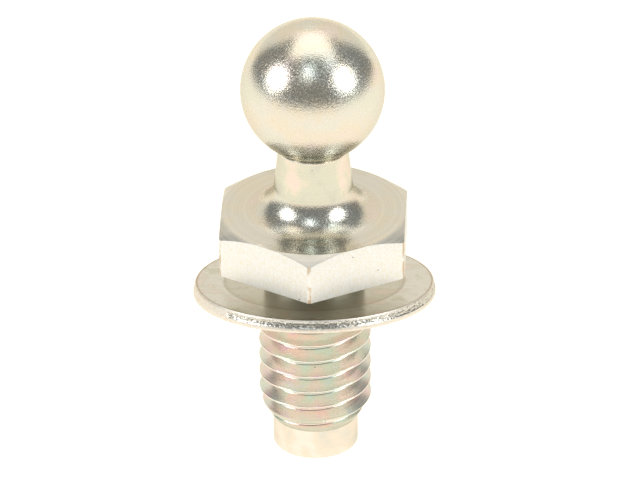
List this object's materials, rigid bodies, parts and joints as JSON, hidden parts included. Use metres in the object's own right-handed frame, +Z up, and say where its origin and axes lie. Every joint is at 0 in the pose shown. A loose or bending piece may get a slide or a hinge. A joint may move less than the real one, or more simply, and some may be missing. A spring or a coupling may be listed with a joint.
{
  "type": "threaded ball stud",
  "caption": "Ball stud with a tapered neck, a hexagon for a spanner, a loose captive washer, a metric thread and a plain dog point; it carries a ball socket.",
  "frame": {"origin": "centre of the flat end of the dog point, on which the stud stands", "axes": "+Z up the stud's axis to the ball; -Y is the front, where a corner of the hexagon looks and the washer is raised"},
  "size_m": [0.017, 0.0167, 0.033],
  "materials": {
    "stud_plating": "zinc plate with a pale straw passivate, satin",
    "washer_plating": "zinc plate with a pale straw passivate, satin, with a rough punched rim"
  },
  "bodies": {
    "stud": {"ball_stud": "stud_plating"},
    "washer": {"captive_washer": "washer_plating"}
  },
  "joints": [
    {"name": "washer_spin", "type": "hinge", "parent": "stud", "child": "washer", "pos_m": [0, 0, 0.01235], "axis": [0, 0, 1], "continuous": true}
  ]
}
